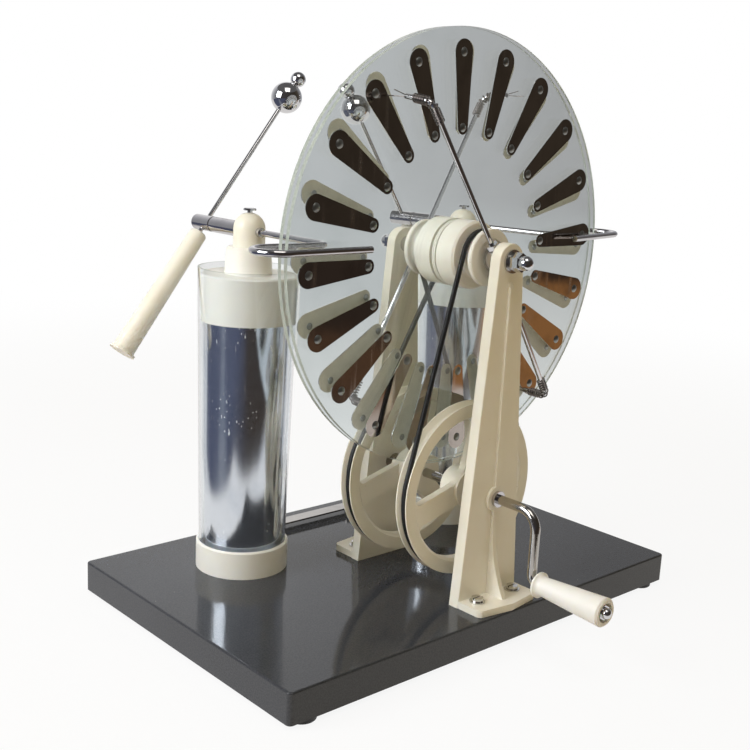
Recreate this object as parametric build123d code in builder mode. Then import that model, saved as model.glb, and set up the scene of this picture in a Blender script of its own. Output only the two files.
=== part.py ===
from build123d import *
from math import asin, atan2, cos, pi, radians, sin, sqrt, tan
import os

# Wimshurst machine: two discs turn opposite ways on one axle, driven by belts from a crank.
# Millimetres, +Z up, +X to the right as seen from the crank, +Y away from the crank.
# The origin is on the floor, below the centre of the machine's outer box.

os.makedirs("parts", exist_ok=True)

# Base board and its rubber feet
base_width = 332.0
base_depth = 216.4
base_height = 19.0
base_corner_radius = 3.0
base_edge_radius = 1.2
base_shift = 5.8            # the board's middle lies this far left of the axle
base_front = 68.6           # from the middle of the disc gap forward to the board's edge
foot_radius = 8.5
foot_height = 3.0
foot_inset_x = 15.0
foot_inset_y = 9.0

# Discs and sectors
disc_radius = 132.6
disc_thickness = 2.8
disc_gap = 2.6
sector_count = 20
sector_outer_radius = 7.4
sector_inner_radius = 4.2
sector_thickness = 0.5
rivet_outer_circle = 118.2
rivet_inner_circle = 74.8
rivet_radius = 2.65
rivet_height = 1.0
front_disc_turn = -3.7      # sectors start this many degrees from the top, seen from the crank
rear_disc_turn = -0.2

# Axle, hubs and what keeps them apart
axle_height = 211.6         # above the board
axle_radius = 3.0
axle_end_cover = 2.4        # nut dome beyond the end of the axle
running_fit = 0.06
seat_gap = 0.2
hub_spigot_radius = 6.0
hub_drum_lip = 5.6          # the drum stands this far beyond the belt's centre line
hub_drum_length = 14.0
hub_flange_lip = 2.4
hub_flange_length = 3.3
hub_groove_width = 8.7
hub_recess_radius = 11.5
hub_recess_depth = 1.4
hub_edge_radius = 1.2
spacer_radius = 5.2

# Belts
belt_radius = 1.6
belt_clearance = 0.3
belt_gap = 0.5              # between the two runs where the belt crosses itself
pulley_belt_radius = 15.0
wheel_belt_radius = 52.5
belt_settle = 12.0          # degrees of wheel in which the crossed belt straightens

# Uprights
upright_thickness = 7.3
front_upright_distance = 39.3   # from the middle of the disc gap to the inner face
rear_upright_distance = 45.9
upright_foot_half_width = 26.2
upright_top_radius = 10.4
upright_rib_width = 3.3
upright_rib_height = 2.0
upright_rib_top = 12.0      # below the axle
upright_rib_slant = 4.0     # length of the slant at the rib's top
upright_boss_radius = 7.75
upright_boss_height = 2.2
upright_flare_reach = 14.3
upright_foot_half_plate = 25.7
upright_foot_reach = 21.5
upright_foot_point = 3.6    # depth of the shallow point at the foot's outer edge
upright_foot_corner = 4.0
upright_foot_thickness = 4.4
upright_edge_radius = 0.8
screw_half_spacing = 16.0
screw_distance = 6.5        # out from the plate's face
screw_radius = 2.0
screw_head_radius = 3.6
screw_head_height = 2.2
screw_washer_radius = 4.8
screw_washer_height = 0.8
screw_depth = 12.0
screw_slot_width = 0.9
screw_slot_depth = 1.0

# Nuts and washers at the axle's ends
axle_washer_radius = 7.0
axle_washer_thickness = 1.2
axle_spring_washer_radius = 5.0
axle_spring_washer_thickness = 1.5
axle_nut_flats = 10.0
axle_nut_hex_length = 5.4
axle_nut_dome_radius = 4.4
axle_nut_dome_length = 7.0

# Crank, driving wheels and handle
crank_height = 66.3         # above the board
crank_radius = 3.0
crank_elbow_radius = 12.0
crank_arm_distance = 80.8   # from the middle of the disc gap to the arm's centre line
handle_height = 23.3        # above the board, with the crank hanging down
handle_elbow_radius = 5.4
crank_collar_radius = 5.0
crank_collar_length = 2.0
crank_tail = 1.5
crank_sleeve_radius = 5.5
wheel_lip = 2.5             # the rim stands this far beyond the belt's centre line
wheel_rim_depth = 7.0       # and reaches this far inside it
wheel_width = 9.0
wheel_mouth = 7.6           # width of the belt groove at the rim
wheel_boss_radius = 12.0
wheel_spoke_width = 14.0
wheel_spoke_thickness = 5.0
wheel_spoke_count = 3
wheel_spoke_turn = 75.0
wheel_spoke_fillet = 4.0
wheel_edge_radius = 1.6
wheel_overlap = 0.5         # the spokes run this far into the rim and the boss
near_wheel_distance = 21.6
near_boss_end = 11.6
far_wheel_distance = 29.4
far_boss_end = 13.4
handle_start = 86.2         # from the middle of the disc gap
handle_end = 135.6
handle_flange_radius = 7.9
handle_flange_length = 2.2
handle_neck_radius = 6.0
handle_neck_length = 5.0
handle_end_radius = 8.75
handle_end_rounding = 1.2
handle_recess_radius = 5.8
handle_recess_depth = 5.0
handle_stud_radius = 2.0
handle_stud_root = 1.0      # the stud starts this far inside the thicker rod
handle_nut_flats = 8.0
handle_nut_hex_length = 4.1
handle_nut_dome_radius = 3.25
handle_nut_dome_length = 4.2

# Neutralisers: bent rods with wound ends that carry brushes
neutral_collar_radius = 8.0
neutral_collar_length = 7.0
front_collar_distance = 34.8
rear_collar_distance = 34.8
neutral_rod_radius = 1.6
neutral_rod_seat = 4.2      # the rods are screwed in as far as this radius
neutral_nut_flats = 7.0
neutral_nut_height = 3.0
neutral_corner = 107.0      # radius at which the rod turns towards the disc
neutral_bend_radius = 5.5
front_neutral_angles = (-35.0, 148.0)
rear_neutral_angles = (28.5, 208.5)
front_tip_leans = (10.0, 0.0)
rear_tip_leans = (6.0, 0.0)
neutral_tip_gap = 12.0      # from the rod's tip to the face of the disc
spring_wire_radius = 0.45
spring_radius = 2.3
spring_arm_turns = 5
spring_bend_turns = 3
spring_tip_turns = 5
spring_pitch = 1.7
brush_plug_radius = 0.85
brush_plug_length = 3.0
brush_radius = 0.3
brush_spread = 3.0
brush_clearance = 0.4

# Leyden jars and the posts on them
jar_offset = 90.7           # left and right of the axle
jar_distance = 88.9         # behind the middle of the disc gap
right_jar_shift = 4.5       # the right jar stands this far forward along the rods in its post
cup_radius = 29.8
cup_height = 18.0
cup_floor = 3.0
cup_clearance = 0.2
cup_edge_radius = 1.0
wall_bottom_radius = 27.75
wall_top_radius = 31.3
wall_thickness = 1.3
wall_floor = 2.0
wall_top = 195.0            # above the board
foil_inset = 3.4            # the metal lining's face lies this far inside the jar's outline
foil_thickness = 0.4
foil_top = 162.0
lid_top = 191.5
lid_clearance = 0.15
lid_skin = 3.0
lid_boss_bottom_radius = 15.0
lid_boss_top_radius = 13.8
lid_boss_top = 208.0
lid_edge_radius = 1.0
post_radius = 9.9
post_top = 229.0            # above the board
post_spigot_radius = 6.0
post_spigot_depth = 8.0
rod_height = 217.8          # above the board: the rods that pass through the posts
jar_rod_radius = 2.0
jar_rod_disc_height = 1.5
jar_rod_disc_clearance = 0.3
post_screw_radius = 1.6
post_screw_head_radius = 4.0
post_screw_head_height = 1.3
post_screw_neck = 1.4
right_post_turn = 10.0      # the right post is turned outward on its jar, as in the photograph

# Collectors
collector_radius = 2.0
collector_bend_radius = 8.0
collector_loop_radius = 13.7
collector_rear_distance = 75.1  # forward of the post, along the rods
collector_reach = 45.3          # outward of the post to the loop's centre
collector_tip = 9.7             # the front prong ends this far inward of the post
ferrule_radius = 2.9
ferrule_length = 3.0
needle_radius = 0.4
needle_length = 3.6
needle_disc_gap = 1.6       # least distance from a needle's point to a disc
needle_count = 4
front_needle_start = -6.0   # outward of the post
front_needle_pitch = 12.0
rear_needle_start = 12.0
rear_needle_pitch = 8.0

# Discharge arms
swivel_radius = 5.0
swivel_stub_radius = 2.5
swivel_joint = 37.8         # behind the post's centre
swivel_neck_radius = 4.0
swivel_neck_length = 1.2
swivel_end = 58.0
swivel_stub_end = 45.0
arm_rod_distance = 48.5
arm_rod_radius = 1.5
left_arm_tilt = 37.5        # degrees that the rod leans inward
right_arm_tilt = 39.0
left_ball_distance = 103.0
right_ball_distance = 98.5
big_ball_radius = 10.3
small_ball_radius = 5.1
ball_stud_radius = 1.2
arm_handle_start = 7.3
arm_handle_end = 100.0
arm_handle_top_radius = 5.65
arm_handle_bottom_radius = 7.25
arm_handle_lip_radius = 8.65
arm_handle_lip_length = 1.5
arm_handle_rounding = 2.4
arm_handle_bore_depth = 35.0

# Bar behind the jars
bar_width = 10.0
bar_thickness = 1.2
bar_height = 3.8            # above the board
bar_half_length = 90.0
bar_distance = 124.8        # behind the middle of the disc gap
bar_end_margin = 6.0
bar_post_x = 33.0
bar_post_radius = 3.0
bar_post_height = 3.4       # the middle post stands this far above the bar


# Places worked out from the sizes above

nut_start = axle_washer_thickness + axle_spring_washer_thickness
handle_nut_start = handle_end - handle_recess_depth + seat_gap
front_reach = handle_nut_start + handle_nut_hex_length + handle_nut_dome_length
turn = radians(right_post_turn)
handle_swing = sin(radians(right_arm_tilt)) * sin(turn)
back_reach = jar_distance + arm_rod_distance * cos(turn) + arm_handle_end * handle_swing
back_reach += arm_handle_lip_radius * sqrt(1 - handle_swing ** 2)
loop_x = collector_reach * cos(turn)
loop_x += (collector_rear_distance + collector_loop_radius) * sin(turn)
right_loop = jar_offset + loop_x + collector_loop_radius + collector_radius
left_reach = base_width / 2 + base_shift
right_reach = max(base_width / 2 - base_shift, right_loop)

axle_x = (left_reach - right_reach) / 2
gap_y = (front_reach - back_reach) / 2
base_top = foot_height + base_height
axle_z = base_top + axle_height
crank_z = base_top + crank_height
rod_z = base_top + rod_height
base_x = axle_x - base_shift
base_y = gap_y - base_front + base_depth / 2
disc_face = disc_gap / 2 + disc_thickness
drum_end = disc_face + hub_drum_length
groove_end = drum_end + hub_groove_width
hub_end = groove_end + hub_flange_length
far_pulley_distance = drum_end + hub_groove_width / 2
wheel_radius = wheel_belt_radius + wheel_lip
wheel_rim_inner = wheel_belt_radius - wheel_rim_depth
front_outer = front_upright_distance + upright_thickness
rear_outer = rear_upright_distance + upright_thickness

FORWARD = Vector(0, -1, 0)
BACKWARD = Vector(0, 1, 0)
UP = Vector(0, 0, 1)
axle_centre = Vector(axle_x, gap_y, axle_z)
crank_centre = Vector(axle_x, gap_y, crank_z)


def save(piece, name):
    """Label a finished piece and write it to its own file."""
    piece.part.label = name
    export_step(piece.part, f"parts/{name}.step")


def lengthwise(centre, along):
    """Sketch plane through an axis: first coordinate along it, second away from it."""
    across = UP if abs(along.Z) < 0.9 else Vector(1, 0, 0)
    across = (across - along * across.dot(along)).normalized()
    return Plane(origin=centre, x_dir=along, z_dir=along.cross(across))


def turned(outline, centre, along):
    """Add a solid of revolution; outline holds (distance along the axis, radius) pairs."""
    with BuildSketch(lengthwise(centre, along)) as section:
        with BuildLine():
            Polyline(*outline, close=True)
        make_face()
    revolve(section.sketch, axis=Axis(centre, along))


def tube(inner, outer, start, end):
    """Outline of a plain sleeve between two places on its axis."""
    return [(start, inner), (end, inner), (end, outer), (start, outer)]


def acorn_nut(centre, along, flats, hex_length, dome_radius, dome_length, bore, bore_depth):
    """Domed nut that stands on centre and points along its axis."""
    with BuildSketch(Plane(origin=centre, z_dir=along)) as hexagon:
        RegularPolygon(flats / 2, 6, major_radius=False)
    extrude(hexagon.sketch, amount=hex_length)
    straight = hex_length + dome_length - dome_radius
    with BuildSketch(lengthwise(centre, along)) as dome:
        with BuildLine():
            side = Polyline((hex_length, 0), (hex_length, dome_radius), (straight, dome_radius))
            CenterArc((straight, 0), dome_radius, 0, 90)
            Line((straight + dome_radius, 0), side @ 0)
        make_face()
    revolve(dome.sketch, axis=Axis(centre, along))
    with BuildSketch(Plane(origin=centre, z_dir=along)) as hole:
        Circle(bore)
    extrude(hole.sketch, amount=bore_depth, mode=Mode.SUBTRACT)


def biarc(start, start_way, end, end_way):
    """Two arcs from start to end that follow the given unit directions at both ends."""
    chord = end - start
    both = start_way + end_way
    spread = 2 * (1 - start_way.dot(end_way))
    lean = chord.dot(both)
    reach = (-lean + sqrt(lean * lean + spread * chord.dot(chord))) / spread
    middle = (start + start_way * reach + end - end_way * reach) * 0.5
    TangentArc(start, middle, tangent=start_way)
    TangentArc(end, middle, tangent=end_way * -1)


# Base

with BuildPart() as base:
    with BuildSketch(Plane((base_x, base_y, foot_height))):
        RectangleRounded(base_width, base_depth, base_corner_radius)
    extrude(amount=base_height)
    fillet(base.faces().sort_by(Axis.Z)[-1].edges(), base_edge_radius)
    for outer, way in ((front_outer, FORWARD), (rear_outer, BACKWARD)):
        screw_y = gap_y + way.Y * (outer + screw_distance)
        with Locations((axle_x - screw_half_spacing, screw_y, base_top),
                       (axle_x + screw_half_spacing, screw_y, base_top)):
            Hole(screw_radius, screw_depth - upright_foot_thickness + seat_gap)
save(base, "base")

with BuildPart() as foot_pads:
    with BuildSketch(Plane((base_x, base_y, 0))):
        with GridLocations(base_width - 2 * foot_inset_x, base_depth - 2 * foot_inset_y, 2, 2):
            Circle(foot_radius)
    extrude(amount=foot_height)
    chamfer(foot_pads.faces().sort_by(Axis.Z)[0:4].edges(), foot_height / 6)
save(foot_pads, "foot_pads")


# Uprights

def make_upright(name, distance, way):
    """Tapered board with a rounded top, a ribbed outer face and a foot plate."""
    inner_y = gap_y + way.Y * distance
    board = Plane((axle_x, inner_y, base_top), x_dir=(-way.Y, 0, 0), z_dir=way)
    slope = atan2(upright_foot_half_width - upright_top_radius, axle_height)
    touch_x = upright_top_radius * cos(slope)
    touch_z = axle_height + upright_top_radius * sin(slope)
    with BuildPart() as upright:
        with BuildSketch(board):
            with BuildLine():
                right = Line((upright_foot_half_width, 0), (touch_x, touch_z))
                crown = ThreePointArc(right @ 1, (0, axle_height + upright_top_radius),
                                      (-touch_x, touch_z))
                left = Line(crown @ 1, (-upright_foot_half_width, 0))
                Line(left @ 1, right @ 0)
            make_face()
        extrude(amount=upright_thickness)
        fillet(upright.faces().sort_by(Axis.Y)[0 if way.Y < 0 else -1]
               .edges().filter_by(lambda edge: edge.center().Z > base_top + upright_edge_radius),
               upright_edge_radius)

        outer = Plane(board.origin + way * upright_thickness, x_dir=board.x_dir, z_dir=way)
        with BuildSketch(outer):
            with Locations((0, crank_height)):
                Circle(upright_boss_radius)
        extrude(amount=upright_boss_height)

        # Rib down the middle of the outer face, swelling to a gusset on the foot plate
        rib_top = axle_height - upright_rib_top
        with BuildSketch(Plane(outer.origin, x_dir=way, z_dir=way.cross(UP))):
            with BuildLine():
                back = Line((-1, 0), (-1, rib_top))
                tip = Line(back @ 1, (0, rib_top))
                slant = Line(tip @ 1, (upright_rib_height, rib_top - upright_rib_slant))
                front = Line(slant @ 1, (upright_rib_height, crank_height - 2 * upright_boss_radius))
                flare = TangentArc(front @ 1, (upright_flare_reach, upright_foot_thickness),
                                   tangent=front % 1)
                foot = Line(flare @ 1, (upright_flare_reach, 0))
                Line(foot @ 1, back @ 0)
            make_face()
        extrude(amount=upright_rib_width / 2, both=True)

        half = upright_foot_half_plate
        reach = upright_thickness + upright_foot_reach
        shoulder = reach - upright_foot_point
        with BuildSketch(Plane((axle_x, inner_y, base_top), x_dir=(way.Y, 0, 0), z_dir=UP)) as sole:
            with BuildLine():
                Polyline((-half, 0), (-half, shoulder), (0, reach), (half, shoulder), (half, 0),
                         close=True)
            make_face()
            corners = sole.vertices().filter_by(lambda v: v.Y > upright_thickness and abs(v.X) > 1)
            fillet(corners, upright_foot_corner)
        extrude(amount=upright_foot_thickness)

        with BuildSketch(board):
            with Locations((0, axle_height)):
                Circle(axle_radius + running_fit)
            with Locations((0, crank_height)):
                Circle(crank_radius + running_fit)
        extrude(amount=upright_thickness + upright_foot_reach, mode=Mode.SUBTRACT)
        screw_y = inner_y + way.Y * (upright_thickness + screw_distance)
        with Locations((axle_x - screw_half_spacing, screw_y, base_top + upright_foot_thickness),
                       (axle_x + screw_half_spacing, screw_y, base_top + upright_foot_thickness)):
            Hole(screw_radius, upright_foot_thickness)
    save(upright, name)


make_upright("front_upright", front_upright_distance, FORWARD)
make_upright("rear_upright", rear_upright_distance, BACKWARD)

with BuildPart() as upright_screws:
    foot_top = base_top + upright_foot_thickness
    head_bottom = foot_top + screw_washer_height
    for outer, way in ((front_outer, FORWARD), (rear_outer, BACKWARD)):
        screw_y = gap_y + way.Y * (outer + screw_distance)
        spots = [(axle_x - screw_half_spacing, screw_y), (axle_x + screw_half_spacing, screw_y)]
        with BuildSketch(Plane.XY.offset(foot_top)):
            with Locations(*spots):
                Circle(screw_washer_radius)
        extrude(amount=screw_washer_height)
        with BuildSketch(Plane.XY.offset(head_bottom)):
            with Locations(*spots):
                Circle(screw_head_radius)
        extrude(amount=screw_head_height)
        with BuildSketch(Plane.XY.offset(foot_top)):
            with Locations(*spots):
                Circle(screw_radius)
        extrude(amount=-screw_depth)
        with BuildSketch(Plane.XY.offset(head_bottom + screw_head_height)):
            with Locations(*spots):
                Rectangle(2 * screw_head_radius, screw_slot_width)
        extrude(amount=-screw_slot_depth, mode=Mode.SUBTRACT)
save(upright_screws, "upright_screws")


# Axle, its nuts and the spacers between hubs, collars and uprights

front_nut = front_outer + nut_start
rear_nut = rear_outer + nut_start
nut_length = axle_nut_hex_length + axle_nut_dome_length
with BuildPart() as axle:
    ends = (-(front_nut + nut_length - axle_end_cover), rear_nut + nut_length - axle_end_cover)
    turned([(ends[0], 0), (ends[0], axle_radius), (ends[1], axle_radius), (ends[1], 0)],
           axle_centre, BACKWARD)
save(axle, "axle")

with BuildPart() as axle_washers:
    for outer, way in ((front_outer, FORWARD), (rear_outer, BACKWARD)):
        bore = axle_radius + running_fit
        flat_end = outer + axle_washer_thickness
        turned(tube(bore, axle_washer_radius, outer, flat_end), axle_centre, way)
        turned(tube(bore, axle_spring_washer_radius, flat_end,
                    flat_end + axle_spring_washer_thickness), axle_centre, way)
save(axle_washers, "axle_washers")

with BuildPart() as axle_nuts:
    for start, way in ((front_nut, FORWARD), (rear_nut, BACKWARD)):
        acorn_nut(axle_centre + way * start, way, axle_nut_flats, axle_nut_hex_length,
                  axle_nut_dome_radius, axle_nut_dome_length, axle_radius + running_fit / 2,
                  nut_length - axle_end_cover)
save(axle_nuts, "axle_nuts")

half_collar = neutral_collar_length / 2
with BuildPart() as axle_spacers:
    bore = axle_radius + running_fit / 2
    stacks = ((FORWARD, front_collar_distance, front_upright_distance),
              (BACKWARD, rear_collar_distance, rear_upright_distance))
    for way, collar_distance, upright_distance in stacks:
        turned(tube(bore, spacer_radius, hub_end + seat_gap - hub_recess_depth,
                    collar_distance - half_collar - seat_gap), axle_centre, way)
        turned(tube(bore, spacer_radius, collar_distance + half_collar + seat_gap,
                    upright_distance), axle_centre, way)
save(axle_spacers, "axle_spacers")


# Discs, sectors, rivets and hubs

def make_disc(name, way):
    """Clear disc with a hole for the hub's spigot."""
    inner_face = Plane(axle_centre + way * (disc_gap / 2), z_dir=way)
    with BuildPart() as disc:
        with BuildSketch(inner_face):
            Circle(disc_radius)
            Circle(hub_spigot_radius + running_fit / 2, mode=Mode.SUBTRACT)
        extrude(amount=disc_thickness)
    save(disc, name)


def sector_plane(way, start_turn, index):
    """Plane on a disc's face whose first axis runs outward along one sector."""
    angle = radians(start_turn + index * 360 / sector_count)
    outward = Vector(sin(angle), 0, cos(angle))
    return Plane(axle_centre + way * disc_face, x_dir=outward, z_dir=way)


def make_sectors(name, way, start_turn):
    """Ring of thin metal sectors, each the hull of a large and a small round end."""
    with BuildPart() as sectors:
        for index in range(sector_count):
            with BuildSketch(sector_plane(way, start_turn, index)):
                with Locations((rivet_outer_circle, 0)):
                    Circle(sector_outer_radius)
                with Locations((rivet_inner_circle, 0)):
                    Circle(sector_inner_radius)
                make_hull()
            extrude(amount=sector_thickness)
    save(sectors, name)


def make_rivets(name, way, start_turn):
    """Low domed rivet heads, two on each sector."""
    dome_radius = (rivet_radius ** 2 + rivet_height ** 2) / (2 * rivet_height)
    half_angle = asin(rivet_radius / dome_radius) / 2
    dome_middle = (rivet_height - dome_radius * (1 - cos(half_angle)),
                   dome_radius * sin(half_angle))
    with BuildPart() as rivets:
        for index in range(sector_count):
            face = sector_plane(way, start_turn, index)
            for circle in (rivet_outer_circle, rivet_inner_circle):
                foot = face.origin + face.x_dir * circle + way * sector_thickness
                with BuildSketch(lengthwise(foot, way)):
                    with BuildLine():
                        floor = Line((0, 0), (0, rivet_radius))
                        dome = ThreePointArc(floor @ 1, dome_middle, (rivet_height, 0))
                        Line(dome @ 1, floor @ 0)
                    make_face()
                revolve(axis=Axis(foot, way))
    save(rivets, name)


def make_hub(name, way):
    """Drum against the disc, belt groove and flange, bored to run on the axle."""
    floor = pulley_belt_radius - belt_radius - belt_clearance
    drum = pulley_belt_radius + hub_drum_lip
    flange = pulley_belt_radius + hub_flange_lip
    bore = axle_radius + running_fit
    edge = hub_edge_radius
    with BuildPart() as hub:
        turned([(disc_gap / 2, bore), (disc_gap / 2, hub_spigot_radius),
                (disc_face, hub_spigot_radius), (disc_face, drum),
                (drum_end - edge, drum), (drum_end, drum - edge),
                (drum_end, floor + edge), (drum_end + edge, floor),
                (groove_end - edge, floor), (groove_end, floor + edge),
                (groove_end, flange - edge / 2), (groove_end + edge / 2, flange),
                (hub_end - edge / 2, flange), (hub_end, flange - edge / 2),
                (hub_end, hub_recess_radius), (hub_end - hub_recess_depth, hub_recess_radius),
                (hub_end - hub_recess_depth, bore)], axle_centre, way)
    save(hub, name)


for side_name, way, start_turn in (("front", FORWARD, front_disc_turn),
                                   ("rear", BACKWARD, rear_disc_turn)):
    make_disc(f"{side_name}_disc", way)
    make_sectors(f"{side_name}_sectors", way, start_turn)
    make_rivets(f"{side_name}_rivets", way, start_turn)
    make_hub(f"{side_name}_hub", way)


# Driving wheels on the crank shaft

def make_wheel(name, way, distance, boss_end):
    """Grooved rim on three spokes, with a boss that reaches towards the other wheel."""
    half = wheel_width / 2
    edge = wheel_edge_radius
    groove = belt_radius + 3 * belt_clearance
    floor = wheel_belt_radius - belt_radius - belt_clearance
    mouth = wheel_mouth / 2
    centre = crank_centre + way * distance
    with BuildSketch(mode=Mode.PRIVATE) as windows:
        Circle(wheel_rim_inner)
        Circle(wheel_boss_radius, mode=Mode.SUBTRACT)
        for index in range(wheel_spoke_count):
            angle = wheel_spoke_turn + index * 360 / wheel_spoke_count
            with Locations(Location((0, 0, 0), (0, 0, -way.Y * angle))):
                Rectangle(wheel_radius, wheel_spoke_width, align=(Align.MIN, Align.CENTER),
                          mode=Mode.SUBTRACT)
        fillet(windows.vertices(), wheel_spoke_fillet)
    with BuildPart() as wheel:
        with BuildSketch(lengthwise(centre, way)):
            with BuildLine():
                front = Polyline((-mouth, wheel_radius), (-half, wheel_radius),
                                 (-half, wheel_rim_inner + edge), (edge - half, wheel_rim_inner),
                                 (half - edge, wheel_rim_inner), (half, wheel_rim_inner + edge),
                                 (half, wheel_radius), (mouth, wheel_radius),
                                 (groove, wheel_belt_radius))
                bed = ThreePointArc(front @ 1, (0, floor), (-groove, wheel_belt_radius))
                Line(bed @ 1, front @ 0)
            make_face()
        revolve(axis=Axis(centre, way))
        bore = crank_radius + running_fit / 2
        turned([(half, bore), (half, wheel_boss_radius), (boss_end - distance, wheel_boss_radius),
                (boss_end - distance, bore)], centre, way)
        web = Plane(centre - way * (wheel_spoke_thickness / 2), x_dir=(1, 0, 0), z_dir=way)
        with BuildSketch(web):
            Circle(wheel_rim_inner + wheel_overlap)
            Circle(wheel_boss_radius - wheel_overlap, mode=Mode.SUBTRACT)
            add(windows.sketch, mode=Mode.SUBTRACT)
        extrude(amount=wheel_spoke_thickness)
    save(wheel, name)


make_wheel("near_wheel", FORWARD, near_wheel_distance, near_boss_end)
make_wheel("far_wheel", BACKWARD, far_wheel_distance, far_boss_end)


# Crank: one bent rod from the far upright to the handle's nut

boss_front = front_outer + upright_boss_height
boss_rear = rear_outer + upright_boss_height
collar_front = boss_front + seat_gap
collar_rear = boss_rear + seat_gap
shaft_end = collar_rear + crank_collar_length + crank_tail
with BuildPart() as crank_shaft:
    with BuildLine(Plane(crank_centre, x_dir=FORWARD, z_dir=FORWARD.cross(UP))) as route:
        corner = (crank_arm_distance, 0)
        drop = handle_height - crank_height
        FilletPolyline((-shaft_end, 0), corner, (crank_arm_distance, drop),
                       (handle_nut_start, drop), radius=[crank_elbow_radius, handle_elbow_radius])
    with BuildSketch(Plane(crank_centre + BACKWARD * shaft_end, z_dir=FORWARD)):
        Circle(crank_radius)
    sweep(path=route.wires()[0])
    handle_centre = crank_centre + UP * drop
    stud_root = handle_nut_start - handle_stud_root
    turned([(stud_root, 0), (stud_root, handle_stud_radius),
            (handle_nut_start + handle_nut_hex_length, handle_stud_radius),
            (handle_nut_start + handle_nut_hex_length, 0)], handle_centre, FORWARD)
save(crank_shaft, "crank_shaft")

with BuildPart() as crank_collars:
    bore = crank_radius + running_fit / 2
    for start, way in ((collar_front, FORWARD), (collar_rear, BACKWARD)):
        turned(tube(bore, crank_collar_radius, start, start + crank_collar_length),
               crank_centre, way)
save(crank_collars, "crank_collars")

with BuildPart() as crank_sleeves:
    bore = crank_radius + running_fit / 2
    half = wheel_width / 2
    turned(tube(bore, crank_sleeve_radius, near_wheel_distance + half,
                front_upright_distance - seat_gap), crank_centre, FORWARD)
    turned(tube(bore, crank_sleeve_radius, far_wheel_distance + half,
                rear_upright_distance - seat_gap), crank_centre, BACKWARD)
save(crank_sleeves, "crank_sleeves")

with BuildPart() as crank_handle:
    bore = crank_radius + running_fit
    flange_end = handle_start + handle_flange_length
    neck = handle_start + handle_neck_length
    recess = handle_end - handle_recess_depth
    rounding = handle_end_rounding
    with BuildSketch(lengthwise(handle_centre, FORWARD)):
        with BuildLine():
            back = Polyline((handle_start, bore), (handle_start, handle_flange_radius - 0.6),
                            (handle_start + 0.6, handle_flange_radius),
                            (flange_end - 0.6, handle_flange_radius))
            hollow = ThreePointArc(back @ 1, (flange_end + 0.4, handle_neck_radius + 0.7),
                                   (neck, handle_neck_radius))
            Polyline(hollow @ 1, (handle_end - rounding, handle_end_radius),
                     (handle_end, handle_end_radius - rounding),
                     (handle_end, handle_recess_radius), (recess, handle_recess_radius),
                     (recess, bore), back @ 0)
        make_face()
    revolve(axis=Axis(handle_centre, FORWARD))
save(crank_handle, "crank_handle")

with BuildPart() as handle_nut:
    acorn_nut(handle_centre + FORWARD * handle_nut_start, FORWARD, handle_nut_flats,
              handle_nut_hex_length, handle_nut_dome_radius, handle_nut_dome_length,
              handle_stud_radius + running_fit / 2, handle_nut_hex_length)
save(handle_nut, "handle_nut")


# Belts

centre_distance = axle_height - crank_height


def least_gap(points, wire_radius, skip):
    """Least clear distance between parts of a wire at least skip points apart."""
    least = (points[0] - points[-1]).length
    for first in range(len(points)):
        for second in range(first + skip, len(points)):
            least = min(least, (points[first] - points[second]).length)
    return least - 2 * wire_radius


with BuildPart() as open_belt:
    lean = asin((wheel_belt_radius - pulley_belt_radius) / centre_distance)
    low = (wheel_belt_radius * cos(lean), wheel_belt_radius * sin(lean))
    high = (pulley_belt_radius * cos(lean), centre_distance + pulley_belt_radius * sin(lean))
    belt_plane = Plane(crank_centre + FORWARD * near_wheel_distance, x_dir=(1, 0, 0), z_dir=FORWARD)
    with BuildLine(belt_plane) as loop:
        right = Line(low, high)
        over = ThreePointArc(high, (0, centre_distance + pulley_belt_radius), (-high[0], high[1]))
        left = Line(over @ 1, (-low[0], low[1]))
        ThreePointArc(left @ 1, (0, -wheel_belt_radius), right @ 0)
    with BuildSketch(Plane(right @ 0, z_dir=right % 0)):
        Circle(belt_radius)
    sweep(path=loop.wires()[0])
save(open_belt, "open_belt")


def belt_station(centre, radius, angle, spin, distance, slope):
    """Place and direction of a belt's centre line on a wheel; the angle is from the top."""
    place = centre + Vector(radius * sin(angle), distance, radius * cos(angle))
    way = Vector(spin * cos(angle), slope, -spin * sin(angle))
    return place, way.normalized()


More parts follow.
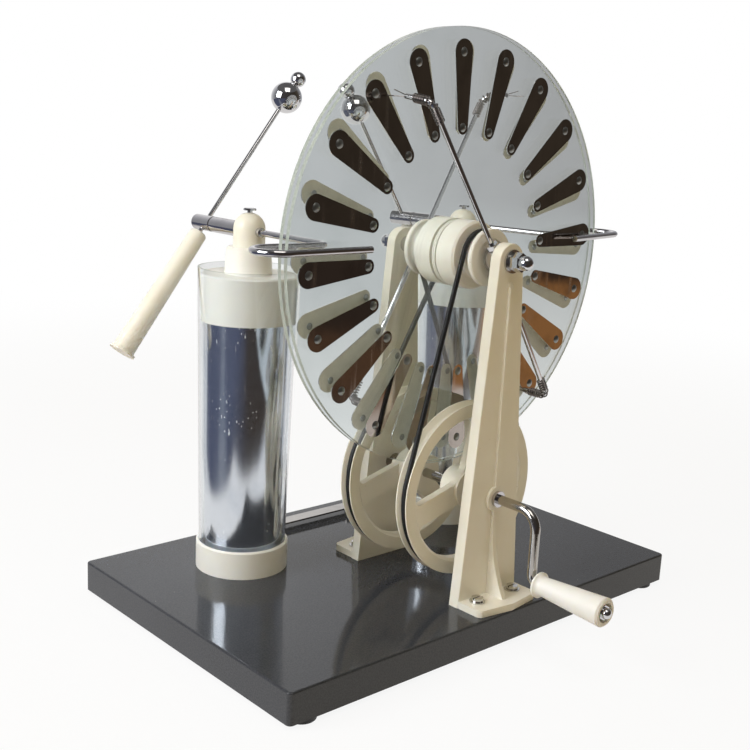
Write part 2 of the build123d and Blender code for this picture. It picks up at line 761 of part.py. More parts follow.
def crossed_belt_stations():
    """Places and directions in order round the crossed belt, pulley first."""
    reach = wheel_belt_radius + pulley_belt_radius
    wrap = pi / 2 + asin(reach / centre_distance)
    straight = sqrt(centre_distance ** 2 - reach ** 2)
    settle = radians(belt_settle)
    sag = wheel_belt_radius * settle / 2
    shift = (belt_radius + belt_gap / 2) * reach / wheel_belt_radius
    entry = far_pulley_distance - shift
    leave = far_pulley_distance + shift
    entry_slope = (far_wheel_distance - entry) / (straight + sag)
    leave_slope = (far_wheel_distance - leave) / (straight + sag)
    arc = 2 * wrap * pulley_belt_radius
    stations = []

    # On the pulley the belt drifts sideways along a cubic curve that meets both straight runs
    for index in range(9):
        t = index / 8
        place = entry * (2 * t ** 3 - 3 * t ** 2 + 1) - entry_slope * arc * (t ** 3 - 2 * t ** 2 + t)
        place += leave * (3 * t ** 2 - 2 * t ** 3) + leave_slope * arc * (t ** 3 - t ** 2)
        slope = (leave - entry) * (6 * t - 6 * t ** 2) / arc
        slope += leave_slope * (3 * t ** 2 - 2 * t) - entry_slope * (3 * t ** 2 - 4 * t + 1)
        stations.append(belt_station(axle_centre, pulley_belt_radius, wrap * (2 * t - 1), 1,
                                     place, slope))

    # On the wheel it straightens within a few degrees, goes round, and leans back again
    start = wrap - pi
    stations.append(belt_station(crank_centre, wheel_belt_radius, start, -1,
                                 far_wheel_distance - leave_slope * sag, leave_slope))
    for index in range(5):
        angle = start - settle - (2 * wrap - 2 * settle) * index / 4
        stations.append(belt_station(crank_centre, wheel_belt_radius, angle, -1,
                                     far_wheel_distance, 0))
    stations.append(belt_station(crank_centre, wheel_belt_radius, start - 2 * wrap, -1,
                                 far_wheel_distance - entry_slope * sag, -entry_slope))
    return stations


with BuildPart() as crossed_belt:
    stations = crossed_belt_stations()
    half = len(stations) - 4
    for stretch in (stations[:half + 1], stations[half:] + stations[:1]):
        with BuildLine() as route:
            for (start, start_way), (end, end_way) in zip(stretch, stretch[1:]):
                if start_way.dot(end_way) > 0.99999:
                    Line(start, end)
                else:
                    biarc(start, start_way, end, end_way)
        with BuildSketch(Plane(stretch[0][0], z_dir=stretch[0][1])):
            Circle(belt_radius)
        sweep(path=route.wires()[0])
    first_run = [stations[8][0] + (stations[9][0] - stations[8][0]) * (k / 400) for k in range(401)]
    second_run = [stations[-1][0] + (stations[0][0] - stations[-1][0]) * (k / 400) for k in range(401)]
    crossing = min((p - q).length for p in first_run for q in second_run)
    print(f"gap between the crossing runs: {crossing - 2 * belt_radius:.2f} mm")
save(crossed_belt, "crossed_belt")


# Neutralisers

def make_neutraliser(side_name, way, collar_distance, angles, leans):
    """Collar on the axle with two bent rods, each with a wound wire and a brush at its end."""
    centre = axle_centre + way * collar_distance
    travel = collar_distance - disc_face - neutral_tip_gap
    brush_end = collar_distance - disc_face - sector_thickness - brush_clearance
    arms = []
    for angle, lean in zip(angles, leans):
        outward = Vector(sin(radians(angle)), 0, cos(radians(angle)))
        arms.append((Plane(centre, x_dir=outward, z_dir=outward.cross(way * -1)), radians(lean)))

    with BuildPart() as collar:
        turned(tube(axle_radius + running_fit, neutral_collar_radius, -half_collar, half_collar),
               centre, way)
        for arm, lean in arms:
            with BuildSketch(Plane(centre + arm.x_dir * (neutral_rod_seat - 0.1), z_dir=arm.x_dir)):
                Circle(neutral_rod_radius + running_fit / 2)
            extrude(amount=neutral_collar_radius, mode=Mode.SUBTRACT)
    save(collar, f"{side_name}_neutral_collar")

    with BuildPart() as rods:
        for arm, lean in arms:
            tip = (neutral_corner + travel * tan(lean), travel)
            with BuildLine(arm) as route:
                bent = FilletPolyline((neutral_rod_seat, 0), (neutral_corner, 0), tip,
                                      radius=neutral_bend_radius)
            with BuildSketch(Plane(bent @ 0, z_dir=arm.x_dir)):
                Circle(neutral_rod_radius)
            sweep(path=route.wires()[0])
            with BuildSketch(Plane(bent @ 1, z_dir=(bent % 1) * -1)):
                Circle(brush_plug_radius + running_fit / 2)
            extrude(amount=brush_plug_length + seat_gap, mode=Mode.SUBTRACT)
    save(rods, f"{side_name}_neutral_rods")

    with BuildPart() as nuts:
        for arm, lean in arms:
            start = neutral_collar_radius + seat_gap / 4
            with BuildSketch(Plane(centre + arm.x_dir * start, x_dir=arm.z_dir, z_dir=arm.x_dir)):
                RegularPolygon(neutral_nut_flats / 2, 6, major_radius=False)
                Circle(neutral_rod_radius + running_fit / 2, mode=Mode.SUBTRACT)
            extrude(amount=neutral_nut_height)
    save(nuts, f"{side_name}_neutral_nuts")

    with BuildPart() as springs:
        for arm, lean in arms:
            turn_angle = pi / 2 - lean
            bend_start = neutral_corner - neutral_bend_radius * tan(turn_angle / 2)
            bend_length = neutral_bend_radius * turn_angle

            def wire_point(turns):
                """Place of the wound wire after so many turns round the bent rod."""
                along = (turns - spring_arm_turns) * spring_pitch
                if turns > spring_arm_turns + spring_bend_turns:
                    along -= spring_bend_turns * spring_pitch - bend_length
                elif turns > spring_arm_turns:
                    along *= bend_length / (spring_bend_turns * spring_pitch)
                heading = min(max(along / neutral_bend_radius, 0), turn_angle)
                rest = along - heading * neutral_bend_radius
                across = bend_start + neutral_bend_radius * sin(heading) + rest * cos(heading)
                inward = neutral_bend_radius * (1 - cos(heading)) + rest * sin(heading)
                swing = spring_radius * cos(2 * pi * turns)
                place = (across - swing * sin(heading), inward + swing * cos(heading),
                         spring_radius * sin(2 * pi * turns))
                return arm.from_local_coords(Vector(*place))

            def wire_way(turns):
                """Direction of the wound wire after so many turns."""
                return (wire_point(turns + 0.01) - wire_point(turns - 0.01)).normalized()

            turn_count = spring_arm_turns + spring_bend_turns + spring_tip_turns
            with BuildLine() as coil:
                for index in range(2 * turn_count):
                    biarc(wire_point(index / 2), wire_way(index / 2),
                          wire_point(index / 2 + 0.5), wire_way(index / 2 + 0.5))
            with BuildSketch(Plane(wire_point(0), z_dir=wire_way(0))):
                Circle(spring_wire_radius)
            sweep(path=coil.wires()[0])
            samples = [wire_point(index / 24) for index in range(24 * turn_count + 1)]
            gap = least_gap(samples, spring_wire_radius, 12)
            print(f"{side_name} spring: {turn_count} turns, least gap to itself {gap:.2f} mm")

            # The brush: a plug in the rod's bored tip and two fine wires that spread to the sectors
            tip = Vector(neutral_corner + travel * tan(lean), travel, 0)
            tip_way = Vector(sin(lean), cos(lean), 0)
            plug = tip - tip_way * brush_plug_length
            with BuildSketch(Plane(arm.from_local_coords(plug),
                                   z_dir=arm.from_local_coords(tip_way) - arm.origin)):
                Circle(brush_plug_radius)
            extrude(amount=brush_plug_length)
            rest = brush_end - travel
            for spread in (-brush_spread, brush_spread):
                root = tip - tip_way * brush_plug_radius + Vector(0, 0, spread / 8)
                reach = Vector(tip.X + rest * tan(lean), brush_end, spread) - root
                aim = arm.from_local_coords(reach) - arm.origin
                with BuildSketch(Plane(arm.from_local_coords(root), z_dir=aim)):
                    Circle(brush_radius)
                extrude(amount=reach.length)
    save(springs, f"{side_name}_neutral_springs")


make_neutraliser("front", FORWARD, front_collar_distance, front_neutral_angles, front_tip_leans)
make_neutraliser("rear", BACKWARD, rear_collar_distance, rear_neutral_angles, rear_tip_leans)


# Leyden jars and their posts

def jar_radius(height, inset):
    """Radius of the tapered jar at a height above the board, less an inset."""
    share = (height - cup_floor) / (wall_top - cup_floor)
    return wall_bottom_radius + (wall_top_radius - wall_bottom_radius) * share - inset


def rod_frame(side):
    """Where a post's two rods meet, with its outward and backward directions."""
    yaw = radians(right_post_turn) if side > 0 else 0
    meeting = Vector(axle_x + side * jar_offset, gap_y + jar_distance, rod_z)
    return meeting, Vector(side * cos(yaw), sin(yaw), 0), Vector(-side * sin(yaw), cos(yaw), 0)


def jar_foot(side):
    """Middle of a jar on the board, and how far forward of the rods' meeting it stands."""
    shift = right_jar_shift if side > 0 else 0
    meeting, outward, backward = rod_frame(side)
    return meeting - backward * shift - UP * rod_height, shift


lid_bottom = foil_top + seat_gap
plug_inset = wall_thickness + lid_clearance
spigot_bottom = lid_boss_top - post_spigot_depth
jar_floor = cup_floor + wall_floor
rod_fit = jar_rod_radius + running_fit / 2


def make_jar(side_name, side):
    """Cup, clear wall, metal lining, lid, centre rod and post of one jar."""
    foot, shift = jar_foot(side)
    rod_centre = foot + UP * rod_height
    backward = rod_frame(side)[2]

    with BuildPart() as cup:
        edge = cup_edge_radius
        turned([(0, 0), (0, cup_radius), (cup_height - edge, cup_radius),
                (cup_height, cup_radius - edge),
                (cup_height, jar_radius(cup_height, -cup_clearance)),
                (cup_floor, jar_radius(cup_floor, -cup_clearance)), (cup_floor, 0)], foot, UP)
    save(cup, f"{side_name}_jar_cup")

    with BuildPart() as wall:
        turned([(cup_floor, 0), (cup_floor, jar_radius(cup_floor, 0)),
                (wall_top, jar_radius(wall_top, 0)), (wall_top, jar_radius(wall_top, wall_thickness)),
                (jar_floor, jar_radius(jar_floor, wall_thickness)), (jar_floor, 0)], foot, UP)
    save(wall, f"{side_name}_jar_wall")

    with BuildPart() as foil:
        deep = foil_inset + foil_thickness
        turned([(jar_floor, 0), (jar_floor, jar_radius(jar_floor, foil_inset)),
                (foil_top, jar_radius(foil_top, foil_inset)), (foil_top, jar_radius(foil_top, deep)),
                (jar_floor + foil_thickness, jar_radius(jar_floor, deep)),
                (jar_floor + foil_thickness, 0)], foot, UP)
    save(foil, f"{side_name}_jar_foil")

    with BuildPart() as lid:
        edge = lid_edge_radius
        hollow = lid_top - lid_skin
        turned([(hollow, rod_fit), (hollow, jar_radius(hollow, plug_inset + lid_skin)),
                (lid_bottom, jar_radius(lid_bottom, plug_inset + lid_skin)),
                (lid_bottom, jar_radius(lid_bottom, plug_inset)),
                (lid_top - edge, jar_radius(lid_top - edge, plug_inset)),
                (lid_top, jar_radius(lid_top, plug_inset + edge)),
                (lid_top, lid_boss_bottom_radius), (lid_boss_top - edge, lid_boss_top_radius),
                (lid_boss_top, lid_boss_top_radius - edge),
                (lid_boss_top, post_spigot_radius + running_fit / 2),
                (spigot_bottom, post_spigot_radius + running_fit / 2), (spigot_bottom, rod_fit)],
               foot, UP)
    save(lid, f"{side_name}_jar_lid")

    with BuildPart() as rod:
        foot_plate = jar_floor + foil_thickness + jar_rod_disc_clearance
        rod_top = spigot_bottom + post_spigot_depth / 2
        turned([(foot_plate, 0), (foot_plate, 3 * jar_rod_radius),
                (foot_plate + jar_rod_disc_height, 3 * jar_rod_radius),
                (foot_plate + jar_rod_disc_height, jar_rod_radius), (rod_top, jar_rod_radius),
                (rod_top, 0)], foot, UP)
    save(rod, f"{side_name}_jar_rod")

    with BuildPart() as post:
        with BuildSketch(lengthwise(foot, UP)):
            with BuildLine():
                side_line = Polyline((spigot_bottom, 0), (spigot_bottom, post_spigot_radius),
                                     (lid_boss_top, post_spigot_radius),
                                     (lid_boss_top, post_radius), (post_top - post_radius, post_radius))
                CenterArc((post_top - post_radius, 0), post_radius, 0, 90)
                Line((post_top, 0), side_line @ 0)
            make_face()
        revolve(axis=Axis(foot, UP))
        with BuildSketch(Plane(foot + UP * spigot_bottom, z_dir=UP)):
            Circle(rod_fit)
        extrude(amount=post_spigot_depth / 2 + seat_gap, mode=Mode.SUBTRACT)
        with BuildSketch(Plane(rod_centre, z_dir=backward)):
            Circle(collector_radius + running_fit / 2)
        extrude(amount=2 * post_radius, both=True, mode=Mode.SUBTRACT)
        with BuildSketch(Plane(rod_centre, z_dir=UP)):
            Circle(post_screw_radius + running_fit / 2)
        extrude(amount=2 * post_radius, mode=Mode.SUBTRACT)
    save(post, f"{side_name}_post")


for side_name, side in (("left", -1), ("right", 1)):
    make_jar(side_name, side)

with BuildPart() as post_screws:
    for side in (-1, 1):
        foot, shift = jar_foot(side)
        start = rod_height + collector_radius + seat_gap / 2
        head = post_top + post_screw_neck
        head_top = head + post_screw_head_height
        turned([(start, 0), (start, post_screw_radius), (head, post_screw_radius),
                (head, post_screw_head_radius), (head_top - 0.4, post_screw_head_radius),
                (head_top, post_screw_head_radius - 0.4), (head_top, 0)], foot, UP)
        with BuildSketch(Plane(foot + UP * head_top, z_dir=UP)):
            Rectangle(2 * post_screw_head_radius, screw_slot_width)
        extrude(amount=-post_screw_head_height / 2, mode=Mode.SUBTRACT)
save(post_screws, "post_screws")


# Collectors: bent rods that hold needles on both sides of the discs

def make_collector(side_name, side):
    """Rod from the post round the discs' edge, with a ferrule and two rows of needles."""
    centre, outward, backward = rod_frame(side)
    shift = jar_foot(side)[1]
    forward = backward * -1
    plan = Plane(centre, x_dir=outward, z_dir=(0, 0, -side))
    front_distance = collector_rear_distance + 2 * collector_loop_radius
    with BuildPart() as collector:
        with BuildLine(plan) as route:
            shank = FilletPolyline((0, seat_gap), (0, collector_rear_distance),
                                   (collector_reach, collector_rear_distance),
                                   radius=collector_bend_radius)
            ThreePointArc((collector_reach, collector_rear_distance),
                          (collector_reach + collector_loop_radius,
                           collector_rear_distance + collector_loop_radius),
                          (collector_reach, front_distance))
            Line((collector_reach, front_distance), (-collector_tip, front_distance))
        with BuildSketch(Plane(shank @ 0, z_dir=forward)):
            Circle(collector_radius)
        sweep(path=route.wires()[0])
        face = shift + post_radius + seat_gap / 2
        turned(tube(collector_radius / 2, ferrule_radius, face, face + ferrule_length),
               centre, forward)

        # Needles point at the discs and stop short of them
        rows = ((collector_rear_distance, 1, rear_needle_start, rear_needle_pitch),
                (front_distance, -1, front_needle_start, front_needle_pitch))
        for distance, facing, needle_start, needle_pitch in rows:
            for index in range(needle_count):
                root = plan.from_local_coords(Vector(needle_start + index * needle_pitch, distance, 0))
                aim = forward * facing
                room = (abs(root.Y - gap_y) - disc_face - needle_disc_gap) / abs(aim.Y)
                length = min(collector_radius + needle_length, room)
                with BuildSketch(Plane(root, z_dir=aim)):
                    Circle(needle_radius)
                extrude(amount=length)
    save(collector, f"{side_name}_collector")


# Discharge arms: swivel, rod with two balls, and insulating handle

def make_arm(side_name, side):
    """Fixed and turning halves of the swivel, the rod through it, its balls and its handle."""
    centre, outward, backward = rod_frame(side)
    tilt = radians(right_arm_tilt if side > 0 else left_arm_tilt)
    ball = right_ball_distance if side > 0 else left_ball_distance
    arm_way = UP * cos(tilt) - outward * sin(tilt)
    arm_centre = centre + backward * arm_rod_distance
    neck_end = swivel_joint + swivel_neck_length
    face = post_radius + seat_gap / 2 - jar_foot(side)[1]

    with BuildPart() as inner:
        turned([(seat_gap, 0), (seat_gap, collector_radius), (face, collector_radius),
                (face, swivel_radius), (swivel_joint, swivel_radius),
                (swivel_joint, swivel_neck_radius), (neck_end, swivel_neck_radius),
                (neck_end, swivel_stub_radius), (swivel_stub_end, swivel_stub_radius),
                (swivel_stub_end, 0)], centre, backward)
    save(inner, f"{side_name}_swivel_inner")

    with BuildPart() as outer:
        bore = swivel_stub_radius + running_fit / 2
        start = neck_end + seat_gap / 2
        turned([(start, bore), (start, swivel_radius), (swivel_end - 0.6, swivel_radius),
                (swivel_end, swivel_radius - 0.6), (swivel_end, 0),
                (swivel_stub_end + seat_gap, 0), (swivel_stub_end + seat_gap, bore)],
               centre, backward)
        with BuildSketch(Plane(arm_centre, z_dir=arm_way)):
            Circle(arm_rod_radius + running_fit / 2)
        extrude(amount=2 * swivel_radius, both=True, mode=Mode.SUBTRACT)
    save(outer, f"{side_name}_swivel_outer")

    rod_start = arm_handle_start + arm_handle_bore_depth - seat_gap
    rod_end = ball - big_ball_radius / 2
    with BuildPart() as rod:
        with BuildSketch(Plane(arm_centre - arm_way * rod_start, z_dir=arm_way)):
            Circle(arm_rod_radius)
        extrude(amount=rod_start + rod_end)
    save(rod, f"{side_name}_discharge_rod")

    with BuildPart() as balls:
        small = ball + big_ball_radius + small_ball_radius
        bore = arm_rod_radius + running_fit / 2
        stud = ball_stud_radius
        with BuildSketch(lengthwise(arm_centre, arm_way)):
            with BuildLine():
                hole = Polyline((rod_end + seat_gap, 0), (rod_end + seat_gap, bore),
                                (ball - sqrt(big_ball_radius ** 2 - bore ** 2), bore))
                big = ThreePointArc(hole @ 1, (ball, big_ball_radius),
                                    (ball + sqrt(big_ball_radius ** 2 - stud ** 2), stud))
                neck = Line(big @ 1, (small - sqrt(small_ball_radius ** 2 - stud ** 2), stud))
                top = ThreePointArc(neck @ 1, (small, small_ball_radius),
                                    (small + small_ball_radius, 0))
                Line(top @ 1, hole @ 0)
            make_face()
        revolve(axis=Axis(arm_centre, arm_way))
    save(balls, f"{side_name}_discharge_balls")

    with BuildPart() as handle:
        bore = arm_rod_radius + running_fit / 2
        lip = arm_handle_end - arm_handle_lip_length
        bore_end = arm_handle_start + arm_handle_bore_depth
        down = arm_way * -1
        with BuildSketch(lengthwise(arm_centre, down)) as profile:
            with BuildLine():
                Polyline((arm_handle_start, bore), (arm_handle_start, arm_handle_top_radius),
                         (lip, arm_handle_bottom_radius), (lip, arm_handle_lip_radius),
                         (arm_handle_end, arm_handle_lip_radius), (arm_handle_end, 0),
                         (bore_end, 0), (bore_end, bore), close=True)
            make_face()
            top = profile.vertices().filter_by(lambda v: v.X < arm_handle_start + 1 and v.Y > 2 * bore)
            fillet(top, arm_handle_rounding)
        revolve(axis=Axis(arm_centre, down))
    save(handle, f"{side_name}_discharge_handle")


for side_name, side in (("left", -1), ("right", 1)):
    make_collector(side_name, side)
    make_arm(side_name, side)


# Bar behind the jars

with BuildPart() as link_bar:
    bar_y = gap_y + bar_distance
    with BuildSketch(Plane((axle_x, bar_y, base_top + bar_height))):
        Rectangle(2 * bar_half_length, bar_width)
    extrude(amount=bar_thickness)
    reach = bar_half_length - bar_end_margin
    posts = ((-reach, bar_height), (bar_post_x, bar_height + bar_thickness + bar_post_height),
             (reach, bar_height))
    for post_x, height in posts:
        with BuildSketch(Plane((axle_x + post_x, bar_y, base_top))):
            Circle(bar_post_radius)
        extrude(amount=height)
save(link_bar, "link_bar")
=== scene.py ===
import math

import bpy
import numpy as np
from mathutils import Euler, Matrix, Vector


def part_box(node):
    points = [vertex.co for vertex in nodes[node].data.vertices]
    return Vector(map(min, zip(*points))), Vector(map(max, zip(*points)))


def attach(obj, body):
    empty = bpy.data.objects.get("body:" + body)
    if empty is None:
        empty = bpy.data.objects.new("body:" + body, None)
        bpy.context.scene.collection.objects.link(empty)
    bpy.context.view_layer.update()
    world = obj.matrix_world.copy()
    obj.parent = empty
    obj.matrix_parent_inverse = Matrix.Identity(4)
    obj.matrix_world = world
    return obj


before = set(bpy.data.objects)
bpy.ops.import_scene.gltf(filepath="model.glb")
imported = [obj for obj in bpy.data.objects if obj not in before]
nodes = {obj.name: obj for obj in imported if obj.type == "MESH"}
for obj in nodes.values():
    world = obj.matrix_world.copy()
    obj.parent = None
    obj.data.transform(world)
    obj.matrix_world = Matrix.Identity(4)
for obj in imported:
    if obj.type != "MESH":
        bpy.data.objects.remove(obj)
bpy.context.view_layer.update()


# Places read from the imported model, in metres

front_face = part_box("front_disc")[1].y      # inner faces of the two discs
rear_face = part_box("rear_disc")[0].y
gap_y = (front_face + rear_face) / 2        # middle of the gap between them
axle_low, axle_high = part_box("axle")
axle = (axle_low + axle_high) / 2
hub_low, hub_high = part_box("front_hub")
drum_radius = (hub_high.x - hub_low.x) / 2
board_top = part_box("base")[1].z


# Shader sockets as values

class Reading:
    """A shader value; sums, differences, products and quotients of it add Math nodes."""

    def __init__(self, finish, socket):
        self.finish = finish
        self.socket = socket

    def worked(self, operation, first, second=0.0):
        """Result of a Math node."""
        return self.finish.node("Math", {"operation": operation}, {0: first, 1: second})

    def __add__(self, other):
        return self.worked("ADD", self, other)

    __radd__ = __add__

    def __sub__(self, other):
        return self.worked("SUBTRACT", self, other)

    def __rsub__(self, other):
        return self.worked("SUBTRACT", other, self)

    def __mul__(self, other):
        return self.worked("MULTIPLY", self, other)

    __rmul__ = __mul__

    def __truediv__(self, other):
        return self.worked("DIVIDE", self, other)

    def __abs__(self):
        return self.worked("ABSOLUTE", self)

    def above(self, limit):
        """1 where this is above the limit, otherwise 0."""
        return self.worked("GREATER_THAN", self, limit)

    def larger(self, other):
        """The larger of this and another value."""
        return self.worked("MAXIMUM", self, other)

    def step(self, low, high):
        """Smooth rise from 0 at low to 1 at high, or a fall where high is below low."""
        return self.finish.node("MapRange", {"interpolation_type": "SMOOTHSTEP"},
                                {"Value": self, "From Min": low, "From Max": high})


class Finish:
    """Node tree of a surface, or of the room, with one method that adds any node."""

    def __init__(self, name, owner=None):
        self.owner = owner or bpy.data.materials.new(name)
        self.owner.use_nodes = True
        self.tree = self.owner.node_tree
        self.tree.nodes.clear()
        self.place = self.node("TexCoord", {}, {}, "Object")

    def node(self, kind, settings, sockets, output=0):
        """Add a node: its settings come first, then values or links for its sockets."""
        made = self.tree.nodes.new("ShaderNode" + kind)
        for key, value in settings.items():
            if key == "stops":
                while len(made.color_ramp.elements) < len(value):
                    made.color_ramp.elements.new(0.5)
                for stop, (position, colour) in zip(made.color_ramp.elements, value):
                    stop.position = position
                    stop.color = (*colour, 1.0)
            else:
                setattr(made, key, value)
        for key, value in sockets.items():
            if isinstance(value, Reading):
                self.tree.links.new(value.socket, made.inputs[key])
            else:
                made.inputs[key].default_value = value
        return Reading(self, made.outputs[output])

    def noise(self, scale, detail, roughness=0.5, place=None):
        """Cloudy value from 0 to 1; scale is in clouds per metre."""
        return self.node("TexNoise", {}, {"Vector": place or self.place, "Scale": scale,
                                          "Detail": detail, "Roughness": roughness})

    def cells(self, scale, feature="F1", place=None):
        """Distance to the nearest of many scattered points, in spacings."""
        return self.node("TexVoronoi", {"feature": feature},
                         {"Vector": place or self.place, "Scale": scale}, "Distance")

    def stretched(self, scales, turn=(0.0, 0.0, 0.0)):
        """Object place stretched and turned."""
        return self.node("Mapping", {}, {"Vector": self.place, "Scale": scales, "Rotation": turn})

    def lines(self, scales, turn=(0.0, 0.0, 0.0), detail=2.0, roughness=0.6):
        """Cloudy value drawn out into lines along the axis that has the smallest scale."""
        return self.noise(1.0, detail, roughness, self.stretched(scales, turn))

    def along(self, way, place=None):
        """How far a point or a direction reaches along a way."""
        return self.node("VectorMath", {"operation": "DOT_PRODUCT"},
                         {0: place or self.place, 1: way}, "Value")

    def mix(self, share, first, second):
        """Colour between two colours."""
        made = self.tree.nodes.new("ShaderNodeMix")
        made.data_type = "RGBA"
        for index, value in ((0, share), (6, first), (7, second)):
            if isinstance(value, Reading):
                self.tree.links.new(value.socket, made.inputs[index])
            else:
                made.inputs[index].default_value = (*value, 1.0)
        return Reading(self, made.outputs[2])

    def bump(self, height, strength, distance, under=None):
        """Normal tilted by a height value, over another bump where one is given."""
        sockets = {"Height": height, "Strength": strength, "Distance": distance}
        if under is not None:
            sockets["Normal"] = under
        return self.node("Bump", {}, sockets)

    def ray(self, first, *others):
        """1 where a light ray is of one of these kinds."""
        found = self.node("LightPath", {}, {}, first)
        for kind in others:
            found = found.larger(self.node("LightPath", {}, {}, kind))
        return found

    def facing(self, axis):
        """How far the surface itself faces along an axis, from -1 to 1."""
        normal = self.node("TexCoord", {}, {}, "Normal")
        return self.node("SeparateXYZ", {}, {"Vector": normal}, axis)

    def surface(self, shader, end="OutputMaterial"):
        """Join the last shader to the output."""
        last = self.tree.nodes.new("ShaderNode" + end)
        self.tree.links.new(shader.socket, last.inputs["Surface"])
        return self.owner


# Finishes

def moulded_ivory(name, cream, pale):
    """Glossy cream plastic with faint clouds, a fine skin texture and a few dark specks."""
    f = Finish(name)
    clouds = f.noise(38.0, 4.0)
    colour = f.mix(clouds.step(0.35, 0.7), cream, pale)
    specks = 1.0 - f.cells(160.0).step(0.035, 0.06)
    rare = f.noise(70.0, 1.0).above(0.6)
    colour = f.mix(specks * rare * 0.5, colour, (0.30, 0.24, 0.16))
    skin = f.bump(f.noise(900.0, 2.0), 0.12, 0.0002)
    sink = f.bump(f.noise(60.0, 2.0), 0.10, 0.0008, skin)
    return f.surface(f.node("BsdfPrincipled", {}, {
        "Base Color": colour, "Roughness": 0.24 + clouds * 0.14, "IOR": 1.5,
        "Subsurface Weight": 0.12, "Subsurface Radius": (1.0, 0.72, 0.42),
        "Subsurface Scale": 0.003, "Normal": sink}))


def lacquered_board():
    """Dark grey gloss paint with a fine grit, a slight orange peel, dust specks and faint
    hair scratches."""
    f = Finish("lacquered_board")
    clouds = f.noise(9.0, 3.0)
    colour = f.mix(clouds.step(0.3, 0.75), (0.038, 0.041, 0.050), (0.048, 0.051, 0.062))
    grit = f.noise(1100.0, 1.0).step(0.35, 0.65)
    colour = f.mix(grit * 0.30, colour, (0.090, 0.093, 0.104))
    dust = 1.0 - f.cells(95.0).step(0.018, 0.03)
    rare = f.noise(21.0, 1.0).above(0.60)
    colour = f.mix(dust * rare * 0.5, colour, (0.50, 0.50, 0.49))
    scratches = f.lines((900.0, 25.0, 400.0), (0.0, 0.0, 0.6)).step(0.70, 0.76)
    return f.surface(f.node("BsdfPrincipled", {}, {
        "Base Color": colour, "Roughness": 0.07 + clouds * 0.05 + scratches * 0.05,
        "IOR": 1.42, "Normal": f.bump(f.noise(260.0, 2.0), 0.035, 0.0003)}))


def black_rubber():
    """Matt black rubber with a fine grain and a little chalk."""
    f = Finish("black_rubber")
    chalk = f.noise(120.0, 4.0, 0.6).step(0.5, 0.85)
    return f.surface(f.node("BsdfPrincipled", {}, {
        "Base Color": f.mix(chalk * 0.4, (0.009, 0.009, 0.010), (0.040, 0.039, 0.037)),
        "Roughness": 0.46 + chalk * 0.2,
        "Normal": f.bump(f.noise(1400.0, 2.0), 0.25, 0.0002)}))


def plated(name, clean, smeared, smooth, dull, ripple=0.05):
    """Plated metal: smears change its colour from clean to smeared and its roughness from
    smooth to dull, and a slow ripple bends what it mirrors."""
    f = Finish(name)
    clouds = f.noise(55.0, 4.0, 0.55)
    scratches = f.lines((1500.0, 90.0, 1500.0), (0.3, 0.2, 0.4)).step(0.68, 0.78)
    rough = smooth + clouds.step(0.35, 0.8) * (dull - smooth) + scratches * 0.05
    return f.surface(f.node("BsdfPrincipled", {}, {
        "Base Color": f.mix(clouds.step(0.4, 0.8), clean, smeared), "Metallic": 1.0,
        "Roughness": rough, "Normal": f.bump(f.noise(170.0, 1.0), ripple, 0.0005)}))


def rolled_foil():
    """Metal lining: mirror-bright sheet with upright creases, slight blisters and smudges,
    and with short pale scratches and dots in its worn patches."""
    f = Finish("rolled_foil")
    upright = f.lines((105.0, 105.0, 2.0), roughness=0.5)
    crinkle = f.cells(60.0, "SMOOTH_F1", f.stretched((1.0, 1.0, 0.45)))
    smudge = f.noise(24.0, 4.0, 0.6)
    tint = f.mix(smudge.step(0.35, 0.7), (0.84, 0.85, 0.88), (0.70, 0.73, 0.79))
    scratches = f.lines((900.0, 900.0, 280.0), (0.5, 0.7, 0.3), 1.0, 0.5).step(0.68, 0.73)
    dots = 1.0 - f.cells(130.0).step(0.03, 0.09)
    worn = f.noise(40.0, 2.0).step(0.40, 0.62)
    nicks = (scratches * 0.7 + dots * 0.6) * worn
    creases = f.bump(upright, 0.26, 0.0010)
    return f.surface(f.node("BsdfPrincipled", {}, {
        "Base Color": f.mix(nicks, tint, (0.93, 0.93, 0.94)), "Metallic": 1.0 - nicks * 0.7,
        "Roughness": 0.08 + smudge * 0.10 + nicks * 0.25,
        "Normal": f.bump(crinkle, 0.05, 0.0010, creases)}))


def sector_plate(name, clean, smeared, outward):
    """Thin plate: a mirror with rubbed streaks on the side away from its disc, which faces
    along y where outward is 1 and against it where outward is -1, dull grey where it is
    glued down and bright at its cut edge."""
    f = Finish(name)
    open_side = (f.facing("Y") * outward).step(0.3, 0.7)
    glued_side = (f.facing("Y") * -outward).step(0.3, 0.7)
    clouds = f.noise(60.0, 4.0, 0.55)
    rubbed = f.lines((170.0, 170.0, 15.0), (0.0, 0.35, 0.0)).step(0.52, 0.76)
    mirror = f.mix(clouds.step(0.4, 0.75), clean, smeared)
    mirror = f.mix(rubbed * 0.4, mirror, (0.72, 0.69, 0.66))
    glue = f.mix(f.noise(150.0, 3.0).step(0.3, 0.7), (0.80, 0.80, 0.785), (0.88, 0.88, 0.865))
    unpolished = f.mix(glued_side, (0.80, 0.80, 0.78), glue)
    return f.surface(f.node("BsdfPrincipled", {}, {
        "Base Color": f.mix(open_side, unpolished, mirror),
        "Metallic": 1.0 - glued_side * 0.85,
        "Roughness": glued_side * 0.36 + 0.05 + clouds.step(0.4, 0.8) * 0.08 + rubbed * 0.22,
        "Normal": f.bump(f.noise(90.0, 1.0), 0.06, 0.0005)}))


